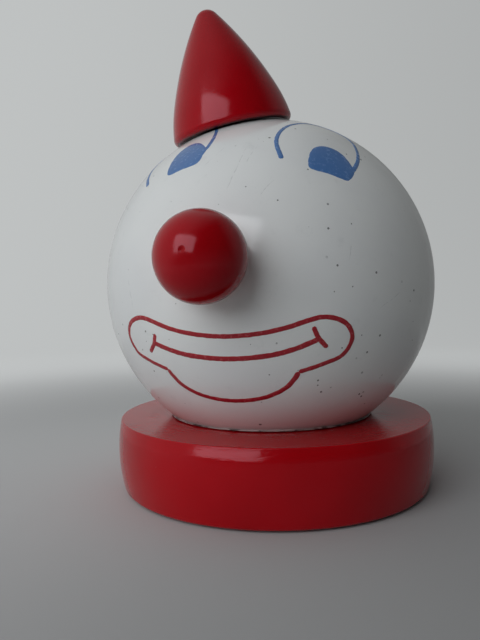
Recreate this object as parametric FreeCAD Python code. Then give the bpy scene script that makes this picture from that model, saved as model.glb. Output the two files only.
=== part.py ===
import FreeCAD, Part
import math
import os

# Painted wooden clown: a ball head that turns on a round base, with a ball nose
# and a pointed hat. Millimetres, +Z up, the face looks along -Y. The origin is the
# centre of the felt's underside, on the axis that the head turns about.

V = FreeCAD.Vector
UP = V(0, 0, 1)

# Base: a disc turned from 20 mm board, with felt let into its underside. Its holes are
# bored a little off its centre.
base_off_x = 1.0           # the disc's centre, from the axis of its bores
base_top_r = 44.4
base_widest_r = 45.2
base_bottom_r = 43.7
base_top_z = 20.2
base_widest_z = 9.7
base_top_round = 0.4
base_bottom_round = 1.0
felt_r = 40.0
felt_thick = 1.5
felt_recess = 1.0
counterbore_r = 13.0
counterbore_depth = 9.5

# Head: a ball with a turned seat under it
head_r = 46.5
head_seat_r = 28.4
head_seat_round = 0.6
head_lift = 0.3            # running gap between the head's seat and the base

# Neck: the dowel that the head turns on, held from below by a screw and a washer
neck_r = 6.0
neck_clearance = 0.08
neck_in_head = 29.0
neck_bore_in_head = 30.0
neck_below_shoulder = 0.2  # the dowel stands this far into the counterbore
washer_r = 10.0
washer_hole_r = 2.7
washer_thick = 1.2
screw_core_r = 1.8
screw_crest_r = 2.5
screw_pitch = 2.0
screw_turns = 12
screw_plain = 3.2
screw_point = 3.0
screw_head_r = 4.8
screw_head_high = 2.6
screw_slot_wide = 1.2
screw_slot_deep = 1.2

# Nose: a small ball on a dowel
nose_r = 10.2
nose_seat_r = 4.2
nose_lift_deg = 6.3        # above the head's equator
nose_dowel_r = 3.0
nose_dowel_in_head = 13.0
nose_dowel_in_nose = 8.0
nose_mark_r = 0.9          # mark that the lathe's centre left
nose_mark_deep = 0.35

# Hat: an ogive cone, cocked forward and to the clown's right, hollowed under to fit the ball
hat_lean_deg = 12.64
hat_turn_deg = 61.65       # from straight ahead, towards the clown's right
hat_widest_r = 17.43
hat_widest_out = 40.92     # its height above the head's centre, a little under the rim
hat_low_side_r = 39.56     # radius of the arc that makes the lower part of the side
hat_bend_out = 54.06       # height above the head's centre where the side grows flatter
hat_high_side_r = 100.3    # radius of the arc above that
hat_tip_r = 3.59
hat_rim_round = 1.6
hat_hollow_r = 58.0        # flatter than the ball, so the rim stands a little clear of it
hat_dowel_r = 4.0
hat_dowel_in_head = 15.0
hat_dowel_in_hat = 13.0

glue_room = 1.0            # space left beyond each blind dowel end
dowel_chamfer = 0.6

# Levels and directions that follow from the sizes above
felt_top_z = felt_thick
base_under_z = felt_thick - felt_recess
shoulder_z = felt_top_z + counterbore_depth
head_under_z = base_top_z + head_lift
head_seat_drop = math.sqrt(head_r ** 2 - head_seat_r ** 2)
head_centre = V(0, 0, head_under_z + head_seat_drop)
neck_end_z = shoulder_z - neck_below_shoulder
screw_seat_z = neck_end_z - washer_thick
screw_head_z = screw_seat_z - screw_head_high
screw_thread_z = screw_seat_z + screw_plain
screw_tip_z = screw_thread_z + screw_turns * screw_pitch + screw_point


def direction(turn_deg, lift_deg):
    """Unit vector: turn_deg from straight ahead (-Y) towards -X, lift_deg above level."""
    turn = math.radians(turn_deg)
    lift = math.radians(lift_deg)
    return V(-math.sin(turn) * math.cos(lift), -math.cos(turn) * math.cos(lift), math.sin(lift))


nose_out = direction(0.0, nose_lift_deg)
hat_out = direction(hat_turn_deg, 90.0 - hat_lean_deg)


def rod(radius, start, along, length, chamfer=0.0):
    """A round rod from start, with both ends chamfered if asked."""
    solid = Part.makeCylinder(radius, length, start, along)
    if chamfer:
        solid = solid.makeChamfer(chamfer, [e for e in solid.Edges if len(e.Vertexes) == 1])
    return solid


def turned(edges):
    """A solid of revolution about Z from edges drawn in the XZ plane."""
    face = Part.Face(Part.Wire(Part.__sortEdges__(edges)))
    return face.revolve(V(0, 0, 0), UP, 360)


def line(a, b):
    return Part.LineSegment(a, b).toShape()


def lines(points):
    return [line(a, b) for a, b in zip(points, points[1:])]


def set_on_head(shape, outward):
    """Moves a shape drawn upright about the head's centre so that +Z turns to outward."""
    shape.Placement = FreeCAD.Placement(head_centre, FreeCAD.Rotation(UP, outward))
    return shape


def round_edges_at(solid, radius, z, edge_r):
    """Rounds the circular edges of edge_r that lie at height z."""
    chosen = []
    for edge in solid.Edges:
        box = edge.BoundBox
        flat = abs(box.ZMax - z) < 1e-3 and abs(box.ZMin - z) < 1e-3
        if flat and abs(box.XMax - edge_r) < 0.05:
            chosen.append(edge)
    return solid.makeFillet(radius, chosen)


def make_base_disc():
    top = V(base_top_r, 0, base_top_z)
    widest = V(base_widest_r, 0, base_widest_z)
    bottom = V(base_bottom_r, 0, base_under_z)
    side = Part.Arc(top, widest, bottom).toShape()
    rest = lines([bottom, V(0, 0, base_under_z), V(0, 0, base_top_z), top])
    disc = turned([side] + rest)
    disc = round_edges_at(disc, base_top_round, base_top_z, base_top_r)
    disc = round_edges_at(disc, base_bottom_round, base_under_z, base_bottom_r)
    disc.translate(V(base_off_x, 0, 0))
    disc = disc.cut(rod(felt_r, V(0, 0, base_under_z), UP, felt_recess))
    disc = disc.cut(rod(counterbore_r, V(0, 0, felt_top_z), UP, counterbore_depth))
    return disc.cut(rod(neck_r + neck_clearance, V(0, 0, shoulder_z), UP, base_top_z))


def make_base_felt():
    return rod(felt_r, V(0, 0, 0), UP, felt_thick)


def make_head_ball():
    ball = Part.makeSphere(head_r, V(0, 0, 0), UP, -90, 90, 360)
    ball = ball.cut(rod(head_r, V(0, 0, -head_seat_drop), -UP, head_r))
    ball = round_edges_at(ball, head_seat_round, -head_seat_drop, head_seat_r)
    ball.translate(head_centre)
    ball = ball.cut(rod(neck_r, V(0, 0, head_under_z), UP, neck_bore_in_head))
    for outward, radius, depth in (
        (nose_out, nose_dowel_r, nose_dowel_in_head),
        (hat_out, hat_dowel_r, hat_dowel_in_head),
    ):
        bottom = head_centre + outward * (head_r - depth - glue_room)
        ball = ball.cut(rod(radius, bottom, outward, depth + 2 * glue_room))
    return ball


def make_neck_dowel():
    length = head_under_z + neck_in_head - neck_end_z
    dowel = rod(neck_r, V(0, 0, neck_end_z), UP, length, dowel_chamfer)
    screw_hole = screw_tip_z + glue_room - neck_end_z
    return dowel.cut(rod(screw_crest_r, V(0, 0, neck_end_z), UP, screw_hole))


def make_neck_washer():
    under = V(0, 0, neck_end_z - washer_thick)
    return rod(washer_r, under, UP, washer_thick).cut(rod(washer_hole_r, under, UP, washer_thick))


def screw_outline():
    """The screw's edge from its seat out to the axis at its point, then down the axis."""
    points = [V(screw_head_r, 0, screw_seat_z), V(screw_crest_r, 0, screw_seat_z)]
    points.append(V(screw_crest_r, 0, screw_thread_z))
    points.append(V(screw_core_r, 0, screw_thread_z))
    for turn in range(screw_turns):
        z = screw_thread_z + turn * screw_pitch
        points.append(V(screw_crest_r, 0, z + 0.5 * screw_pitch))
        points.append(V(screw_core_r, 0, z + screw_pitch))
    return points + [V(0, 0, screw_tip_z), V(0, 0, screw_head_z)]


def make_neck_screw():
    domed = Part.Arc(
        V(0, 0, screw_head_z),
        V(0.72 * screw_head_r, 0, screw_head_z + 0.32 * screw_head_high),
        V(screw_head_r, 0, screw_seat_z),
    ).toShape()
    screw = turned(lines(screw_outline()) + [domed])
    corner = V(-screw_head_r, -screw_slot_wide / 2, screw_head_z)
    return screw.cut(Part.makeBox(2 * screw_head_r, screw_slot_wide, screw_slot_deep, corner))


def make_nose_ball():
    seat_drop = math.sqrt(nose_r ** 2 - nose_seat_r ** 2)
    centre = V(0, 0, head_r + seat_drop)
    ball = Part.makeSphere(nose_r, centre)
    ball = ball.cut(Part.makeCylinder(nose_r, head_r, V(0, 0, 0), UP))
    ball = ball.cut(rod(nose_dowel_r, V(0, 0, head_r), UP, nose_dowel_in_nose + glue_room))
    mark = Part.makeCone(0.0, 2 * nose_mark_r, 2 * nose_mark_deep, centre + UP * (nose_r - nose_mark_deep))
    return set_on_head(ball.cut(mark), nose_out)


def make_nose_dowel():
    length = nose_dowel_in_head + nose_dowel_in_nose
    dowel = rod(nose_dowel_r, V(0, 0, head_r - nose_dowel_in_head), UP, length, dowel_chamfer)
    return set_on_head(dowel, nose_out)


def arc_edge(centre, radius, start, end):
    """An arc in the XZ plane, between two angles in radians above the X axis."""
    points = []
    for angle in (start, (start + end) / 2, end):
        points.append(centre + V(radius * math.cos(angle), 0, radius * math.sin(angle)))
    return Part.Arc(*points).toShape()


def make_hat_cone():
    low_centre = V(hat_widest_r - hat_low_side_r, 0, hat_widest_out)
    bend = math.asin((hat_bend_out - hat_widest_out) / hat_low_side_r)
    toward_bend = V(math.cos(bend), 0, math.sin(bend))
    high_centre = low_centre - toward_bend * (hat_high_side_r - hat_low_side_r)
    meet = math.acos(-high_centre.x / (hat_high_side_r - hat_tip_r))
    tip_z = high_centre.z + (hat_high_side_r - hat_tip_r) * math.sin(meet)
    outline = [
        arc_edge(low_centre, hat_low_side_r, 0.0, bend),
        arc_edge(high_centre, hat_high_side_r, bend, meet),
        arc_edge(V(0, 0, tip_z), hat_tip_r, meet, math.pi / 2),
    ]
    foot = V(0, 0, hat_widest_out)
    outline += lines([V(0, 0, tip_z + hat_tip_r), foot, V(hat_widest_r, 0, hat_widest_out)])
    cone = turned(outline)
    cone = cone.cut(Part.makeSphere(hat_hollow_r, V(0, 0, head_r - hat_hollow_r), UP, -90, 90, 360))
    rim = [edge for edge in cone.Edges if edge.BoundBox.ZLength < 1e-3]
    cone = cone.makeFillet(hat_rim_round, [min(rim, key=lambda edge: edge.BoundBox.ZMax)])
    cone = cone.cut(rod(hat_dowel_r, V(0, 0, head_r - glue_room), UP, hat_dowel_in_hat + 2 * glue_room))
    return set_on_head(cone, hat_out)


def make_hat_dowel():
    length = hat_dowel_in_head + hat_dowel_in_hat
    dowel = rod(hat_dowel_r, V(0, 0, head_r - hat_dowel_in_head), UP, length, dowel_chamfer)
    return set_on_head(dowel, hat_out)


nodes = {
    "base_disc": make_base_disc,
    "base_felt": make_base_felt,
    "head_ball": make_head_ball,
    "neck_dowel": make_neck_dowel,
    "neck_washer": make_neck_washer,
    "neck_screw": make_neck_screw,
    "nose_ball": make_nose_ball,
    "nose_dowel": make_nose_dowel,
    "hat_cone": make_hat_cone,
    "hat_dowel": make_hat_dowel,
}

os.makedirs("parts", exist_ok=True)
for name, make in nodes.items():
    shape = make()
    shape.exportStep("parts/" + name + ".step")
    print(name, len(shape.Solids), "solid, valid", shape.isValid(), round(shape.Volume), "mm3")
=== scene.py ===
import math

import bmesh
import bpy
from mathutils import Matrix, Vector
from mathutils import noise


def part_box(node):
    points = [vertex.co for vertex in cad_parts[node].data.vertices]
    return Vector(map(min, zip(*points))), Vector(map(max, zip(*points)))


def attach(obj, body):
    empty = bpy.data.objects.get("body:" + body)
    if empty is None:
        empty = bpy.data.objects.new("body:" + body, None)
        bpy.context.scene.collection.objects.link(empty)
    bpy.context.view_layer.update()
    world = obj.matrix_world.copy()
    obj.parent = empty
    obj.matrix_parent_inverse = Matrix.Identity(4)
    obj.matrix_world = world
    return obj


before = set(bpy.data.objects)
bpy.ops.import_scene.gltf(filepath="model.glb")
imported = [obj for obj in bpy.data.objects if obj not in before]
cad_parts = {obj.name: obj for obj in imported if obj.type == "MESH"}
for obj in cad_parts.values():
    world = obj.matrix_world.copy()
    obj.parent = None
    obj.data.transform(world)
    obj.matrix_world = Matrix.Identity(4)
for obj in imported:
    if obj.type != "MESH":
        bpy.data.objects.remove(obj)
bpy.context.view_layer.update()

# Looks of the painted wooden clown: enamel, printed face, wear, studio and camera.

MM = 0.001

# ---------------------------------------------------------------- places, from the frame
head_low, head_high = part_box("head_ball")
HEAD_R = (head_high.x - head_low.x) / 2
HEAD = Vector((0.0, 0.0, head_high.z - HEAD_R))
nose_low, nose_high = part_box("nose_ball")
NOSE_R = (nose_high.x - nose_low.x) / 2
NOSE = Vector((0.0, nose_low.y + NOSE_R, nose_high.z - NOSE_R))
NOSE_OUT = (NOSE - HEAD).normalized()
hat_dowel_low, hat_dowel_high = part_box("hat_dowel")
HAT_OUT = ((hat_dowel_low + hat_dowel_high) / 2 - HEAD).normalized()
base_low, base_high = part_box("base_disc")
BASE = Vector(((base_low.x + base_high.x) / 2, 0.0, 0.0))
BASE_R = (base_high.x - base_low.x) / 2
SEAT_R = math.sqrt(HEAD_R ** 2 - (HEAD.z - head_low.z) ** 2)
UP = Vector((0.0, 0.0, 1.0))


# ---------------------------------------------------------------- node helpers
class Graph:
    """A material's node tree, with short ways to add and join nodes."""

    def __init__(self, name, roughness):
        self.material = bpy.data.materials.new(name)
        self.material.use_nodes = True
        self.tree = self.material.node_tree
        self.shader = self.tree.nodes["Principled BSDF"]
        self.shader.inputs["Roughness"].default_value = roughness
        self.place = self.tree.nodes.new("ShaderNodeTexCoord").outputs["Object"]

    def put(self, socket, value):
        if isinstance(value, bpy.types.NodeSocket):
            self.tree.links.new(value, socket)
        else:
            socket.default_value = value

    def math(self, operation, a, b=0.0):
        node = self.tree.nodes.new("ShaderNodeMath")
        node.operation = operation
        for socket, value in zip(node.inputs, (a, b)):
            self.put(socket, value)
        return node.outputs[0]

    def vector(self, operation, a, b):
        node = self.tree.nodes.new("ShaderNodeVectorMath")
        node.operation = operation
        self.put(node.inputs[0], a)
        self.put(node.inputs[3] if operation == "SCALE" else node.inputs[1], b)
        return node.outputs["Value" if operation in ("DOT_PRODUCT", "LENGTH") else "Vector"]

    def join(self, x, y, z):
        node = self.tree.nodes.new("ShaderNodeCombineXYZ")
        for socket, value in zip(node.inputs, (x, y, z)):
            self.put(socket, value)
        return node.outputs[0]

    def split(self, vector):
        node = self.tree.nodes.new("ShaderNodeSeparateXYZ")
        self.put(node.inputs[0], vector)
        return node.outputs

    def noise(self, vector, size, detail=2.0, roughness=0.5):
        """Noise whose features are about size metres across."""
        node = self.tree.nodes.new("ShaderNodeTexNoise")
        self.put(node.inputs["Vector"], vector)
        node.inputs["Scale"].default_value = 1.0 / size
        node.inputs["Detail"].default_value = detail
        node.inputs["Roughness"].default_value = roughness
        return node.outputs["Fac"]

    def cells(self, vector, size):
        """Distance to the nearest cell point, in cells, and the cell's random number."""
        node = self.tree.nodes.new("ShaderNodeTexVoronoi")
        self.put(node.inputs["Vector"], vector)
        node.inputs["Scale"].default_value = 1.0 / size
        return node.outputs["Distance"], self.split(node.outputs["Color"])[0]

    def ramp(self, value, low, high, out_low=0.0, out_high=1.0):
        node = self.tree.nodes.new("ShaderNodeMapRange")
        node.interpolation_type = "SMOOTHSTEP"
        node.inputs["From Min"].default_value = low
        node.inputs["From Max"].default_value = high
        node.inputs["To Min"].default_value = out_low
        node.inputs["To Max"].default_value = out_high
        self.put(node.inputs["Value"], value)
        return node.outputs["Result"]

    def mix(self, amount, a, b):
        node = self.tree.nodes.new("ShaderNodeMix")
        node.data_type = "RGBA"
        self.put(node.inputs["Factor"], amount)
        self.put(node.inputs["A"], a)
        self.put(node.inputs["B"], b)
        return node.outputs["Result"]

    def bump(self, height, depth, before=None):
        """Adds a bump whose height of 1 stands depth metres proud."""
        node = self.tree.nodes.new("ShaderNodeBump")
        node.inputs["Strength"].default_value = 1.0
        node.inputs["Distance"].default_value = depth
        self.put(node.inputs["Height"], height)
        if before is not None:
            self.put(node.inputs["Normal"], before)
        self.put(self.shader.inputs["Normal"], node.outputs[0])
        return node.outputs[0]


def dress(node, material):
    """Gives a CAD node its material."""
    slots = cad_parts[node].data.materials
    slots.clear()
    slots.append(material)


# ---------------------------------------------------------------- directions on the ball
FACE_TURN = 1.3            # degrees that the prints sit to the clown's left of the nose


def facing(turn, lift):
    """Direction turn degrees round from the front towards +X, lift degrees up."""
    a, e = math.radians(turn), math.radians(lift)
    return Vector((math.sin(a) * math.cos(e), -math.cos(a) * math.cos(e), math.sin(e)))


def on_face(height, x, y):
    """Direction on the head of a point x, y degrees right of and above the face's midline."""
    middle = facing(FACE_TURN, height)
    east = facing(FACE_TURN + 90.0, 0.0)
    north = east.cross(-middle)
    bearing = Vector((x, y))
    if bearing.length < 1e-9:
        return middle
    turn = math.radians(bearing.length)
    toward = (east * x + north * y) / bearing.length
    return middle * math.cos(turn) + toward * math.sin(turn)


# ---------------------------------------------------------------- enamel
def turned_lines(graph, centre, axis, size):
    """Noise that runs in rings round an axis, as a lathe's cuts do, and drifts a little."""
    from_centre = graph.vector("SUBTRACT", graph.place, tuple(centre))
    along = graph.vector("DOT_PRODUCT", from_centre, tuple(axis))
    out = graph.vector("SUBTRACT", from_centre, graph.vector("SCALE", tuple(axis), along))
    reach = graph.vector("LENGTH", out, (0.0, 0.0, 0.0))
    drift = graph.vector("SCALE", from_centre, 0.04)
    rings = graph.vector("ADD", graph.join(along, reach, 0.0), drift)
    return graph.noise(rings, size, detail=3.0)


def specks(graph, size, share, reach, seed):
    """Small round marks: 1 inside a mark and 0 elsewhere. share of the cells hold one."""
    moved = graph.vector("ADD", graph.place, (seed, seed * 0.37, -seed))
    distance, chance = graph.cells(moved, size)
    chosen = graph.math("LESS_THAN", chance, share)
    radius = graph.math("ADD", graph.math("MULTIPLY", chance, 0.6 * reach / share), 0.4 * reach)
    inside = graph.math("LESS_THAN", distance, radius)
    return graph.math("MULTIPLY", chosen, inside)


def enamel(name, colour, deep, centre, axis, line_size, line_depth, gloss):
    """Gloss paint over turned wood: slow tone drift, faint lathe rings and brush-out.

    gloss is the least and the greatest roughness."""
    graph = Graph(name, 0.1)
    drift = graph.noise(graph.place, 22 * MM, detail=3.0)
    graph.tone = graph.mix(graph.ramp(drift, 0.35, 0.7), colour + (1.0,), deep + (1.0,))
    smear = graph.noise(graph.place, 7 * MM, detail=4.0)
    graph.put(graph.shader.inputs["Roughness"], graph.ramp(smear, 0.35, 0.75, *gloss))
    rings = turned_lines(graph, centre, axis, line_size)
    first = graph.bump(rings, line_depth)
    wavy = graph.noise(graph.place, 5 * MM, detail=2.0)
    graph.last_bump = graph.bump(wavy, 0.02 * MM, first)
    return graph


# Hairlines in the ball's paint: height of the frame, x and y in it and lean from upright, in
# degrees, then length and width in mm
SCRATCHES = (
    (45.0, 2.0, -8.0, 14.0, 16.0, 0.15),
    (45.0, 5.5, -4.0, 20.0, 9.0, 0.11),
    (45.0, -6.0, -2.0, 28.0, 8.0, 0.11),
    (45.0, 12.0, -16.0, 35.0, 7.0, 0.12),
    (0.0, 38.0, 12.0, 20.0, 9.0, 0.13),
    (0.0, 52.0, -6.0, 62.0, 9.0, 0.12),
    (0.0, -34.0, -2.0, -12.0, 8.0, 0.14),
    (0.0, 150.0, 10.0, 40.0, 14.0, 0.15),
)


def stain(graph, amount, colour):
    """Mixes another colour into the tone built so far."""
    graph.tone = graph.mix(amount, graph.tone, colour + (1.0,))
    graph.put(graph.shader.inputs["Base Color"], graph.tone)


def scratch(graph, height, x, y, lean, length, width):
    """A straight hairline on the ball: 1 on the line and 0 elsewhere. Its middle is at x, y degrees."""
    middle = on_face(height, x, y)
    turn = math.radians(lean)
    up = (UP - middle * UP.dot(middle)).normalized()
    across = up.cross(middle)
    toward = up * math.cos(turn) + across * math.sin(turn)
    from_head = graph.vector("SUBTRACT", graph.place, tuple(HEAD))
    wander = graph.math("MULTIPLY", graph.math("SUBTRACT", graph.noise(graph.place, 7 * MM), 0.5), 1.6 * MM)
    aside = graph.math("ADD", graph.vector("DOT_PRODUCT", from_head, tuple(toward.cross(middle))), wander)
    on_line = graph.ramp(graph.math("ABSOLUTE", aside), 0.35 * width, width, 1.0, 0.0)
    along = graph.vector("DOT_PRODUCT", from_head, tuple(toward))
    within = graph.ramp(graph.math("ABSOLUTE", along), 0.3 * length, 0.5 * length, 1.0, 0.0)
    in_front = graph.math("GREATER_THAN", graph.vector("DOT_PRODUCT", from_head, tuple(middle)), 0.0)
    broken = graph.ramp(graph.noise(graph.place, 1.2 * MM, detail=3.0), 0.40, 0.60)
    whole = graph.math("MULTIPLY", on_line, within)
    return graph.math("MULTIPLY", whole, graph.math("MULTIPLY", in_front, broken))


def head_enamel():
    white, grey = (0.82, 0.83, 0.82), (0.78, 0.79, 0.79)
    graph = enamel("head_enamel", white, grey, HEAD, UP, 0.9 * MM, 0.004 * MM, gloss=(0.09, 0.19))
    clusters = graph.ramp(graph.noise(graph.place, 14 * MM), 0.44, 0.56)
    small = graph.math("MULTIPLY", specks(graph, 2.6 * MM, 0.50, 0.13, 0.31), clusters)
    large = specks(graph, 6 * MM, 0.42, 0.058, 0.77)
    rare = specks(graph, 14 * MM, 0.35, 0.034, 0.11)
    faint = graph.math("MULTIPLY", large, 0.6)
    marks = graph.math("MAXIMUM", graph.math("MAXIMUM", small, faint), rare)
    stain(graph, graph.math("MULTIPLY", marks, 0.80), (0.05, 0.05, 0.05))
    rubbed = graph.ramp(graph.noise(graph.place, 6 * MM, detail=5.0, roughness=0.7), 0.58, 0.74, 0.0, 0.16)
    stain(graph, rubbed, (0.50, 0.52, 0.52))
    line = 0.0
    for height, x, y, lean, length, width in SCRATCHES:
        one = scratch(graph, height, x, y, lean, length * MM, width * MM)
        line = graph.math("MAXIMUM", line, one)
    stain(graph, graph.math("MULTIPLY", line, 0.32), (0.32, 0.32, 0.33))
    height = graph.split(graph.place)[2]
    # painted shade: the ball is darkened in the last 2 mm above its lowest point, in the crevice over the
    # base
    seat_painted_shade = graph.ramp(height, head_low.z + 0.2 * MM, head_low.z + 1.8 * MM, 0.25, 0.0)
    stain(graph, seat_painted_shade, (0.16, 0.14, 0.13))
    graph.bump(line, -0.012 * MM, graph.last_bump)
    return graph.material


def red_enamel(name, centre, axis, colour, deep, line_size=0.9 * MM, line_depth=0.006 * MM):
    """Brushed red gloss, a little pebbled, so that what it mirrors has broken edges."""
    graph = enamel(name, colour, deep, centre, axis, line_size, line_depth, gloss=(0.12, 0.22))
    pebbles = graph.noise(graph.place, 1.2 * MM, detail=3.0)
    graph.last_bump = graph.bump(pebbles, 0.018 * MM, graph.last_bump)
    graph.shader.inputs["Specular IOR Level"].default_value = 0.42
    graph.shader.inputs["Specular Tint"].default_value = (1.0, 0.58, 0.68, 1.0)
    dust = specks(graph, 5.5 * MM, 0.12, 0.05, 0.53)
    stain(graph, graph.math("MULTIPLY", dust, 0.30), (0.45, 0.18, 0.18))
    return graph


def hat_enamel():
    """Painted shade, nearly black, where the rim turns under over the ball; the paint is fuller low down
    than high up.
    """
    graph = red_enamel("hat_enamel", HEAD, HAT_OUT, (0.40, 0.0010, 0.0055), (0.35, 0.0008, 0.0045))
    from_head = graph.vector("SUBTRACT", graph.place, tuple(HEAD))
    reach = graph.vector("LENGTH", from_head, (0.0, 0.0, 0.0))
    ragged = graph.math("MULTIPLY", graph.noise(graph.place, 1.6 * MM, detail=4.0), 0.5 * MM)
    clear = graph.math("SUBTRACT", reach, ragged)
    # painted shade: nearly black where the rim turns under, close over the ball
    rim_painted_shade = graph.ramp(clear, HEAD_R + 0.5 * MM, HEAD_R + 1.2 * MM, 0.9, 0.0)
    stain(graph, rim_painted_shade, (0.035, 0.004, 0.005))
    up_the_hat = graph.vector("DOT_PRODUCT", from_head, tuple(HAT_OUT))
    drawn_in = graph.ramp(up_the_hat, HEAD_R + 2 * MM, HEAD_R + 28 * MM, 1.0, 0.0)
    graph.bump(drawn_in, 1.0 * MM, graph.last_bump)
    return graph.material


def base_enamel():
    """Thick brushed paint: turned in and rippled round the top of the side, chipped along the edge."""
    graph = red_enamel("base_enamel", BASE, UP, (0.44, 0.0015, 0.0055), (0.39, 0.0012, 0.0045),
                       1.4 * MM, 0.02 * MM)
    x, y, z = graph.split(graph.place)
    radius = graph.vector("LENGTH", graph.join(graph.math("SUBTRACT", x, BASE.x), y, 0.0), (0.0, 0.0, 0.0))
    from_neck = graph.vector("LENGTH", graph.join(x, y, 0.0), (0.0, 0.0, 0.0))
    flat = graph.vector("MULTIPLY", graph.place, (0.35, 0.35, 1.0))
    ripple = graph.noise(flat, 0.75 * MM, detail=2.0)
    on_side = graph.ramp(radius, BASE_R - 1.6 * MM, BASE_R - 0.9 * MM)
    high = graph.math("MULTIPLY", graph.ramp(z, base_high.z - 6 * MM, base_high.z - 2 * MM), on_side)
    turned_in = graph.ramp(z, base_high.z - 3.6 * MM, base_high.z, 1.0, 0.0)
    sag = graph.bump(turned_in, 0.42 * MM, graph.last_bump)
    graph.bump(graph.math("MULTIPLY", ripple, high), 0.07 * MM, sag)
    from_edge = graph.math("ADD", graph.math("SUBTRACT", base_high.z, z),
                           graph.math("ABSOLUTE", graph.math("SUBTRACT", BASE_R - 0.7 * MM, radius)))
    at_edge = graph.ramp(from_edge, 0.2 * MM, 1.3 * MM, 1.0, 0.0)
    chipped = graph.ramp(graph.noise(graph.place, 2.6 * MM, detail=5.0, roughness=0.7), 0.66, 0.70)
    stain(graph, graph.math("MULTIPLY", graph.math("MULTIPLY", at_edge, chipped), 0.7), (0.42, 0.15, 0.14))
    near_seat = graph.ramp(from_neck, SEAT_R + 0.5 * MM, SEAT_R + 4.5 * MM, 1.0, 0.0)
    flecks = graph.ramp(graph.noise(graph.place, 0.8 * MM, detail=3.0), 0.66, 0.70)
    stain(graph, graph.math("MULTIPLY", graph.math("MULTIPLY", near_seat, flecks), 0.6), (0.40, 0.26, 0.25))
    return graph.material


# ---------------------------------------------------------------- hidden pieces
def bare_wood():
    graph = Graph("bare_beech", 0.6)
    stretched = graph.vector("MULTIPLY", graph.place, (1.0, 1.0, 0.12))
    grain = graph.noise(stretched, 0.8 * MM, detail=4.0)
    tone = graph.mix(grain, (0.60, 0.40, 0.22, 1.0), (0.46, 0.28, 0.14, 1.0))
    flecks = graph.ramp(graph.noise(stretched, 0.35 * MM), 0.66, 0.72)
    tone = graph.mix(flecks, tone, (0.28, 0.15, 0.07, 1.0))
    graph.put(graph.shader.inputs["Base Color"], tone)
    graph.bump(grain, 0.03 * MM)
    return graph.material


def zinc_steel():
    graph = Graph("zinc_steel", 0.35)
    graph.shader.inputs["Metallic"].default_value = 1.0
    spangle = graph.noise(graph.place, 1.2 * MM, detail=3.0)
    tone = graph.mix(spangle, (0.55, 0.56, 0.58, 1.0), (0.70, 0.70, 0.69, 1.0))
    graph.put(graph.shader.inputs["Base Color"], tone)
    graph.put(graph.shader.inputs["Roughness"], graph.ramp(spangle, 0.3, 0.7, 0.25, 0.5))
    graph.bump(graph.noise(graph.place, 0.3 * MM), 0.01 * MM)
    return graph.material


def wool_felt():
    graph = Graph("wool_felt", 0.95)
    fibres = graph.noise(graph.place, 0.35 * MM, detail=6.0, roughness=0.75)
    clumps = graph.noise(graph.place, 3 * MM, detail=3.0)
    tone = graph.mix(fibres, (0.012, 0.055, 0.030, 1.0), (0.030, 0.110, 0.065, 1.0))
    tone = graph.mix(graph.ramp(clumps, 0.4, 0.7, 0.0, 0.4), tone, (0.05, 0.12, 0.08, 1.0))
    graph.put(graph.shader.inputs["Base Color"], tone)
    graph.shader.inputs["Sheen Weight"].default_value = 0.4
    graph.bump(fibres, 0.12 * MM)
    return graph.material


# ---------------------------------------------------------------- printed face
INK_TOP = 0.045 * MM       # how far a printed film stands off the ball
INK_EDGE = -0.01 * MM      # its edge is sunk a little, so that it closes on the ball
INK_SHOULDER = 0.86        # share of its half width that a printed line is at full height
INK_RAGGED = 0.13          # share of its half width that a printed line's edge wanders
STEP = 0.22 * MM           # spacing of points along a printed line
MOUTH_HEIGHT = -20.0       # degrees above the head's equator
EYES_HEIGHT = 45.0


def smooth(points, closed=False, steps=24):
    """Points along a curve that passes through the given points (Catmull-Rom)."""
    points = [Vector(p) for p in points]
    count = len(points)
    out = []
    for i in range(count if closed else count - 1):
        before = points[i - 1] if closed or i else points[0] * 2 - points[1]
        a, b = points[i], points[(i + 1) % count]
        after = points[(i + 2) % count] if closed or i + 2 < count else b * 2 - a
        for k in range(steps):
            t = k / steps
            out.append(0.5 * (2 * a + (b - before) * t + (2 * before - 5 * a + 4 * b - after) * t * t
                              + (3 * a - before - 3 * b + after) * t ** 3))
    if not closed:
        out.append(points[-1])
    return out


def even(points):
    """The same line with its points STEP apart."""
    lengths = [0.0]
    for a, b in zip(points, points[1:]):
        lengths.append(lengths[-1] + (b - a).length)
    count = max(2, round(lengths[-1] / STEP))
    out = []
    k = 0
    for i in range(count + 1):
        want = lengths[-1] * i / count
        while k < len(points) - 2 and lengths[k + 1] < want:
            k += 1
        span = max(lengths[k + 1] - lengths[k], 1e-12)
        out.append(points[k].lerp(points[k + 1], (want - lengths[k]) / span))
    return out


def film(name, rows, material):
    """A thin film of paint from rows of four directions and lifts, riding on the head."""
    mesh = bmesh.new()
    grid = [[mesh.verts.new(HEAD + d * (HEAD_R + lift)) for d, lift in row] for row in rows]
    for a, b in zip(grid, grid[1:]):
        for k in range(len(a) - 1):
            mesh.faces.new((a[k], b[k], b[k + 1], a[k + 1]))
    return finish_piece(name, mesh, material)


def finish_piece(name, mesh, material):
    """Makes an object of the mesh that turns with the head."""
    bmesh.ops.recalc_face_normals(mesh, faces=mesh.faces)
    data = bpy.data.meshes.new(name)
    mesh.to_mesh(data)
    mesh.free()
    data.shade_smooth()
    data.materials.append(material)
    piece = bpy.data.objects.new(name, data)
    bpy.context.scene.collection.objects.link(piece)
    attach(piece, "head")
    return piece


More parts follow.
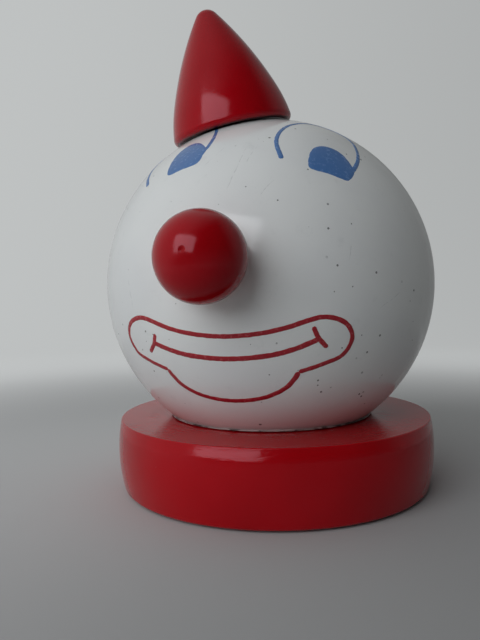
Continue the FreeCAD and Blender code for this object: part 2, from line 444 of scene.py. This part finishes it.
def stroke(name, height, points, width, material, seed):
    """A printed line of the given width, a number or a function of the share of its length."""
    line = even([on_face(height, p.x, p.y) * HEAD_R for p in smooth(points)])
    last = len(line) - 1
    rows = []
    for i, point in enumerate(line):
        outward = point.normalized()
        side = outward.cross(line[min(i + 1, last)] - line[max(i - 1, 0)]).normalized()
        half = (width(i / last) if callable(width) else width) / 2
        end = min(i, last - i) * STEP
        half *= math.sqrt(min(1.0, (end + 0.08 * MM) / (0.45 * half * 2)))
        wander = [noise.noise(point * 900 + Vector((seed, edge, 0.0))) for edge in (0, 9)]
        low_side, high_side = (half * (1 + INK_RAGGED * amount) for amount in wander)
        row = []
        for share, reach, lift in (
            (-1.0, low_side, INK_EDGE),
            (-INK_SHOULDER, low_side, INK_TOP),
            (INK_SHOULDER, high_side, INK_TOP),
            (1.0, high_side, INK_EDGE),
        ):
            row.append(((point + side * share * reach).normalized(), lift))
        rows.append(row)
    return film(name, rows, material)


def patch(name, height, centre, points, material, rings=14):
    """A printed shape: the closed curve through points, filled from centre outwards."""
    edge = smooth(points, closed=True, steps=10)
    middle = Vector(centre)
    mesh = bmesh.new()
    hub = mesh.verts.new(HEAD + on_face(height, *middle) * (HEAD_R + INK_TOP))
    last = None
    for ring in range(1, rings + 1):
        share = ring / rings
        lift = INK_EDGE if ring == rings else INK_TOP
        row = []
        for p in edge:
            q = middle.lerp(p, share)
            row.append(mesh.verts.new(HEAD + on_face(height, q.x, q.y) * (HEAD_R + lift)))
        for k in range(len(row)):
            following = (k + 1) % len(row)
            if last is None:
                mesh.faces.new((hub, row[k], row[following]))
            else:
                mesh.faces.new((last[k], row[k], row[following], last[following]))
        last = row
    return finish_piece(name, mesh, material)


def mirrored(points):
    return [(-x, y) for x, y in reversed(points)]


def ink(name, colour, worn):
    """Printing ink under gloss: slightly mottled."""
    graph = Graph(name, 0.16)
    mottled = graph.noise(graph.place, 1.1 * MM, detail=4.0, roughness=0.6)
    tone = graph.mix(graph.ramp(mottled, 0.42, 0.72), colour + (1.0,), worn + (1.0,))
    graph.put(graph.shader.inputs["Base Color"], tone)
    graph.put(graph.shader.inputs["Roughness"], graph.ramp(mottled, 0.3, 0.7, 0.12, 0.3))
    graph.bump(mottled, 0.01 * MM)
    return graph.material


def printed_mouth(material):
    """The mouth's outline, and in it a smile line with a short stroke across each end."""
    cheek = [(0, 5.6), (10.5, 6.1), (18, 7.1), (28.3, 8.7), (35.0, 5.8), (37.2, 0.5), (34.0, -4.5),
             (27.8, -6.1), (20.5, -7.3)]
    lip = [(20.5, -7.3), (19.1, -9.4), (15.9, -12.6), (9.5, -15.4), (0, -16.5)]
    stroke("mouth_upper", MOUTH_HEIGHT, mirrored(cheek)[:-1] + cheek, 1.18 * MM, material, seed=1.0)
    stroke("mouth_lower", MOUTH_HEIGHT, lip[:-1] + mirrored(lip), 1.35 * MM, material, seed=2.0)
    smile = [(-24.5, 1.3), (-18.5, 0.1), (-12, -0.8), (0, -1.3), (12, -0.8), (19, 0.2), (27.0, 2.2)]
    stroke("smile_line", MOUTH_HEIGHT, smile, 1.35 * MM, material, seed=3.0)
    left_end = [(25.7, 6.3), (27.0, 2.6), (29.3, -0.9)]
    stroke("smile_end_left", MOUTH_HEIGHT, left_end, 1.15 * MM, material, seed=4.0)
    right_end = [(-26.7, -2.5), (-24.4, 0.9), (-23.3, 4.3)]
    stroke("smile_end_right", MOUTH_HEIGHT, right_end, 1.15 * MM, material, seed=5.0)


def printed_eyes(material):
    """Two tall open outlines, each with a pupil that looks to the clown's left."""
    def width(share):
        return (0.75 + 0.5 * abs(2 * share - 1) ** 1.3) * MM

    outline = [(14.7, -3.7), (11.9, 4.7), (12.2, 13.0), (14.7, 20.9), (19.5, 28.7), (25.4, 32.0),
               (31.4, 28.6), (35.6, 21.2), (37.6, 10.7), (36.7, 2.3), (34.2, -4.4)]
    other = [(x + 2.5, y + 0.8) for x, y in mirrored(outline)]
    stroke("eye_outline_left", EYES_HEIGHT, outline, width, material, seed=6.0)
    stroke("eye_outline_right", EYES_HEIGHT, other, width, material, seed=7.0)
    left_pupil = [(23.3, -5.2), (22.4, 0.2), (23.2, 4.8), (25.7, 7.9), (28.9, 8.6), (32.0, 7.6),
                  (34.7, 4.8), (36.7, 1.3), (36.5, -2.1), (34.8, -5.0), (29.0, -5.2)]
    right_pupil = [(-22.0, -4.7), (-23.0, 0.3), (-22.1, 6.4), (-19.4, 10.2), (-16.1, 10.4), (-13.0, 7.8),
                   (-10.3, 3.6), (-10.3, -0.7), (-11.5, -4.0), (-16.5, -4.8)]
    patch("pupil_left", EYES_HEIGHT, (29.0, 1.2), left_pupil, material)
    patch("pupil_right", EYES_HEIGHT, (-16.4, 2.4), right_pupil, material)


# ---------------------------------------------------------------- paint lip and painted crevice shade under the ball
def lip_and_painted_shade():
    """The ragged lip of paint that has crept round the edge of the ball's seat; much of it is near-black
    painted shade standing for the crevice between ball and base, with greyish paint in patches.
    """
    graph = Graph("lip_and_painted_shade", 0.35)
    blotch = graph.noise(graph.place, 5 * MM, detail=5.0, roughness=0.65)
    # painted shade: the near-black stands for the crevice's shade between ball and base; the greyish
    # patches are the lip's paint
    tone = graph.mix(graph.ramp(blotch, 0.43, 0.55), (0.38, 0.28, 0.27, 1.0), (0.06, 0.03, 0.03, 1.0))
    graph.put(graph.shader.inputs["Base Color"], tone)
    graph.bump(blotch, 0.1 * MM)
    mesh = bmesh.new()
    sides = 8
    around = 360
    rows = []
    for i in range(around):
        turn = 2 * math.pi * i / around
        out = Vector((math.cos(turn), math.sin(turn), 0.0))
        ragged = noise.noise(out * 6.0) + 0.5 * noise.noise(out * 17.0)
        thick = (0.15 + 0.18 * max(0.0, ragged + 0.2)) * MM
        ring = out * (SEAT_R + 0.45 * MM) + UP * (head_low.z + thick - 0.1 * MM)
        rows.append([
            mesh.verts.new(ring + (out * math.cos(a) * 1.4 + UP * math.sin(a)) * thick)
            for a in (2 * math.pi * k / sides for k in range(sides))
        ])
    for i in range(around):
        a, b = rows[i], rows[(i + 1) % around]
        for k in range(sides):
            mesh.faces.new((a[k], b[k], b[(k + 1) % sides], a[(k + 1) % sides]))
    return finish_piece("seat_lip_and_painted_shade", mesh, graph.material)


# ---------------------------------------------------------------- studio
WINDOW = 2.75              # radiance of the window
BRIGHT = 0.43              # radiance of the surround at its brightest, and below at its dimmest
DIM = 0.03
HORIZON = 0.17             # radiance just under the horizon, so that the gloss mirrors no hard edge there
FAR_SIDE = 0.22            # radiance of the surround on the side away from the window and a little behind
BACKDROP_GLOW = 0.54       # the backdrop's own light, which is all that it shows


def surface(name, rows, hub=None):
    """A smooth round surface through rings of points, closed at hub if it is given."""
    mesh = bmesh.new()
    around = 96
    rings = []
    for r, z in rows:
        turns = (2 * math.pi * k / around for k in range(around))
        rings.append([mesh.verts.new((r * math.cos(a), r * math.sin(a), z)) for a in turns])
    for a, b in zip(rings, rings[1:]):
        for k in range(around):
            mesh.faces.new((a[k], b[k], b[(k + 1) % around], a[(k + 1) % around]))
    if hub is not None:
        middle = mesh.verts.new(hub)
        for k in range(around):
            mesh.faces.new((middle, rings[0][k], rings[0][(k + 1) % around]))
    data = bpy.data.meshes.new(name)
    mesh.to_mesh(data)
    mesh.free()
    data.shade_smooth()
    stage = bpy.data.objects.new(name, data)
    bpy.context.scene.collection.objects.link(stage)
    return stage


def pale_stage_painted_light(bright_turn, dim_turn):
    """A pale floor and round it a backdrop that only the camera sees, both with a bright side of painted
    light.

    The floor's colour is painted paler towards the bright side, and the backdrop's glow, itself painted
    light, is painted darker on the far side; the floor's paint fades out into that glow, so that no light
    draws an edge across it."""
    near, flat, corner, high = 0.24, 0.42, 0.45, 1.3
    bend_steps = 16
    floor = surface("pale_floor", [(near * 0.5, 0.0), (near, 0.0)], hub=(0.0, 0.0, 0.0))
    sweep = [(near, 0.0), (flat, 0.0)]
    for k in range(1, bend_steps + 1):
        turn = math.pi / 2 * k / bend_steps
        sweep.append((flat + corner * math.sin(turn), corner * (1 - math.cos(turn))))
    backdrop = surface("pale_backdrop", sweep + [(flat + corner, high)])
    for unseen in ("visible_diffuse", "visible_glossy", "visible_transmission", "visible_shadow"):
        setattr(backdrop, unseen, False)
    graph = Graph("pale_stage_painted_light", 0.9)
    graph.shader.inputs["Specular IOR Level"].default_value = 0.0
    # painted light: the floor's colour runs from dark grey away from the bright side to pale towards it
    toward_window = graph.vector("DOT_PRODUCT", graph.place, tuple(facing(bright_turn, 0.0)))
    drift = graph.math("MULTIPLY", graph.noise(graph.place, 0.3), 0.04)
    lit = graph.ramp(graph.math("ADD", toward_window, drift), -0.13, 0.14)
    tone = graph.mix(lit, (0.31, 0.31, 0.31, 1.0), (0.68, 0.68, 0.68, 1.0))
    x, y, z = graph.split(graph.place)
    out = graph.vector("LENGTH", graph.join(x, y, 0.0), (0.0, 0.0, 0.0))
    painted = graph.mix(graph.ramp(out, 0.26, 0.46), tone, (0.0, 0.0, 0.0, 1.0))
    graph.put(graph.shader.inputs["Base Color"], painted)
    # painted light: the outer floor and the backdrop glow by themselves, rising from nothing near the
    # middle, and are painted darker on the side away from the light
    glow = graph.ramp(out, 0.12, 0.46, 0.0, BACKDROP_GLOW)
    aside = graph.vector("DOT_PRODUCT", graph.place, tuple(facing(dim_turn, 0.0)))
    glow = graph.math("MULTIPLY", glow, graph.ramp(aside, -0.45, 0.65, 1.0, 0.76))
    graph.shader.inputs["Emission Color"].default_value = (0.97, 1.0, 1.0, 1.0)
    graph.put(graph.shader.inputs["Emission Strength"], glow)
    for part in (floor, backdrop):
        part.data.materials.append(graph.material)


def panel(name, turn, lift, distance, width, height, radiance, colour):
    """A soft rectangular light aimed at the head, with its brightness as radiance."""
    data = bpy.data.lights.new(name, "AREA")
    data.shape = "RECTANGLE"
    data.size, data.size_y = width, height
    data.energy = radiance * math.pi * width * height
    data.color = colour
    light = bpy.data.objects.new(name, data)
    direction = facing(turn, lift)
    light.location = HEAD + direction * distance
    light.rotation_mode = "QUATERNION"
    light.rotation_quaternion = direction.to_track_quat("Z", "Y")
    light.visible_camera = False
    bpy.context.scene.collection.objects.link(light)


def soft_surround(bright_turn, bright_lift, far_turn):
    """Light from all round: bright from one side, paler from the far side and below, dim elsewhere."""
    world = bpy.data.worlds.new("soft_surround")
    world.use_nodes = True
    tree = world.node_tree
    coordinates = tree.nodes.new("ShaderNodeTexCoord")
    strength = None
    for direction, start, full, radiance in (
        (facing(bright_turn, bright_lift), 0.05, 0.65, BRIGHT),
        (facing(far_turn, 12.0), 0.50, 0.92, FAR_SIDE),
        (-UP, -0.45, 0.40, HORIZON),
    ):
        toward = tree.nodes.new("ShaderNodeVectorMath")
        toward.operation = "DOT_PRODUCT"
        toward.inputs[1].default_value = direction
        tree.links.new(coordinates.outputs["Generated"], toward.inputs[0])
        part = tree.nodes.new("ShaderNodeMapRange")
        part.interpolation_type = "SMOOTHSTEP"
        part.inputs["From Min"].default_value = start
        part.inputs["From Max"].default_value = full
        part.inputs["To Min"].default_value = DIM
        part.inputs["To Max"].default_value = radiance
        tree.links.new(toward.outputs["Value"], part.inputs["Value"])
        brightest = part.outputs["Result"]
        if strength is not None:
            larger = tree.nodes.new("ShaderNodeMath")
            larger.operation = "MAXIMUM"
            tree.links.new(strength, larger.inputs[0])
            tree.links.new(brightest, larger.inputs[1])
            brightest = larger.outputs[0]
        strength = brightest
    background = tree.nodes["Background"]
    background.inputs["Color"].default_value = (0.97, 1.0, 1.0, 1.0)
    tree.links.new(strength, background.inputs["Strength"])
    bpy.context.scene.world = world


def studio(view_turn):
    """A window to the left of the camera, a pale room and a pale stage."""
    pale_stage_painted_light(view_turn - 138.0, view_turn + 90.0)
    soft_surround(view_turn - 118.0, 30.0, view_turn + 130.0)
    panel("window", view_turn - 36.0, 26.5, distance=0.72, width=0.60, height=0.47,
          radiance=WINDOW, colour=(0.94, 0.97, 1.0))
    bpy.context.scene.view_settings.view_transform = "Standard"


EYE_BACK = 4.086           # the camera's place from the ball's centre, in ball radii
EYE_LEFT = 0.187
EYE_DOWN = 0.0075
EYE_PITCH = 2.94           # degrees down, and degrees of roll
EYE_ROLL = -1.02


def camera(view_turn):
    """A close camera, level with the middle of the ball and a little to one side of it."""
    back = facing(view_turn, 0.0)
    right = Vector((math.cos(math.radians(view_turn)), math.sin(math.radians(view_turn)), 0.0))
    data = bpy.data.cameras.new("camera")
    data.lens = 36.4
    data.sensor_width = 36.0
    data.clip_start = 0.01
    data.clip_end = 10.0
    eye = bpy.data.objects.new("camera", data)
    place = HEAD + back * (EYE_BACK * HEAD_R) - right * (EYE_LEFT * HEAD_R) - UP * (EYE_DOWN * HEAD_R)
    turn = (
        Matrix.Rotation(math.radians(view_turn), 4, "Z")
        @ Matrix.Rotation(math.pi / 2 - math.radians(EYE_PITCH), 4, "X")
        @ Matrix.Rotation(math.radians(EYE_ROLL), 4, "Z")
    )
    eye.matrix_world = Matrix.Translation(place) @ turn
    bpy.context.scene.collection.objects.link(eye)
    bpy.context.scene.camera = eye


# ---------------------------------------------------------------- the whole scene
dress("head_ball", head_enamel())
nose_enamel = red_enamel("nose_enamel", NOSE, NOSE_OUT, (0.37, 0.0012, 0.005), (0.32, 0.001, 0.004))
dress("nose_ball", nose_enamel.material)
dress("hat_cone", hat_enamel())
dress("base_disc", base_enamel())
beech = bare_wood()
steel = zinc_steel()
for hidden in ("neck_dowel", "nose_dowel", "hat_dowel"):
    dress(hidden, beech)
for hidden in ("neck_washer", "neck_screw"):
    dress(hidden, steel)
dress("base_felt", wool_felt())

printed_mouth(ink("mouth_ink", (0.36, 0.012, 0.022), (0.42, 0.03, 0.04)))
printed_eyes(ink("eye_ink", (0.075, 0.185, 0.44), (0.10, 0.22, 0.48)))
lip_and_painted_shade()

VIEW_TURN = 17.7
studio(VIEW_TURN)
camera(VIEW_TURN)
